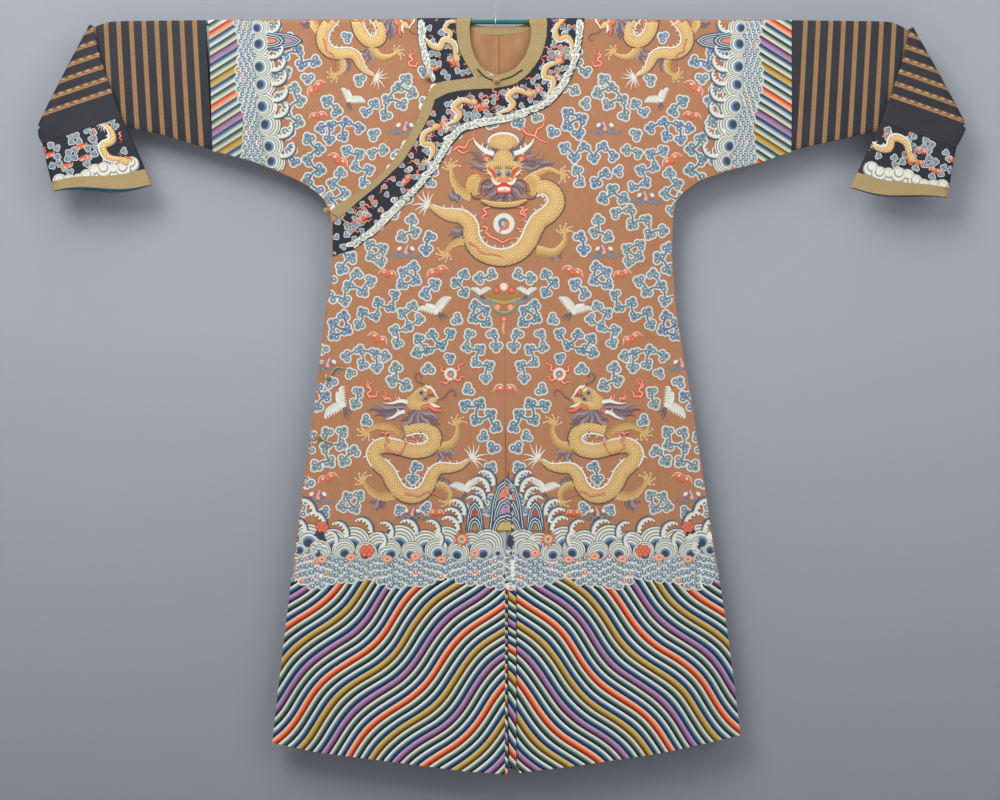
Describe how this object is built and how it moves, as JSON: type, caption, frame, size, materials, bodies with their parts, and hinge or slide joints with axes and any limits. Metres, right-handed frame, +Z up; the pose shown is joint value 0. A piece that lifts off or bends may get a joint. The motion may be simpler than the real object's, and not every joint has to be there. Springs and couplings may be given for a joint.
{
  "type": "chinese dragon robe on a rod hanger",
  "caption": "Embroidered Chinese court robe hung flat on a rod hanger, with a crossing front, dark sleeves dropped forward at the ends, turned cuffs, and open neck, hem and slits.",
  "frame": {"origin": "top of the inside of the hanger's hook, where a rail or wall hook carries it", "axes": "+Z up, +X across the robe to the wearer's left (the right as seen from the front), -Y towards the viewer of the front"},
  "size_m": [1.7271, 0.0406, 1.5112],
  "materials": {
    "silk_ground": "reddish brown silk gauze with satin stitch embroidery",
    "silk_dark": "blue-black silk with couched gold thread",
    "brocade": "gold thread brocade ribbon in a stepped weave",
    "lining_turquoise": "plain turquoise silk",
    "lining_plain": "plain brown silk",
    "gilt": "worn gilding",
    "cord_black": "black silk cord",
    "rod_paint": "dark green satin paint",
    "wire": "bright steel wire"
  },
  "bodies": {
    "root": {"body_left_as_seen": "silk_ground", "body_right_as_seen": "silk_ground", "front_crossing": "silk_ground", "under_strip": "silk_ground", "collar_front": "silk_dark", "collar_left_shoulder": "silk_dark", "collar_back": "silk_dark", "band_front": "brocade", "band_left_neck": "brocade", "band_back_neck": "brocade", "band_inside_neck": "brocade", "lining_left": "lining_plain", "lining_right": "lining_plain", "sleeve_left": "silk_dark", "sleeve_right": "silk_dark", "cuff_left": "silk_dark", "cuff_right": "silk_dark", "cuff_edge_left": "brocade", "cuff_edge_right": "brocade", "cuff_lining_left": "lining_turquoise", "cuff_lining_right": "lining_turquoise", "button_neck": "gilt", "button_collarbone": "gilt", "button_underarm": "gilt", "button_side_upper": "gilt", "button_side_lower": "gilt", "loop_neck_left": "cord_black", "loop_neck_right": "cord_black", "loop_underarm": "brocade", "loop_side_upper": "brocade", "loop_side_lower": "brocade", "hanger_rod": "rod_paint", "hanger_hook": "wire"}
  },
  "joints": []
}
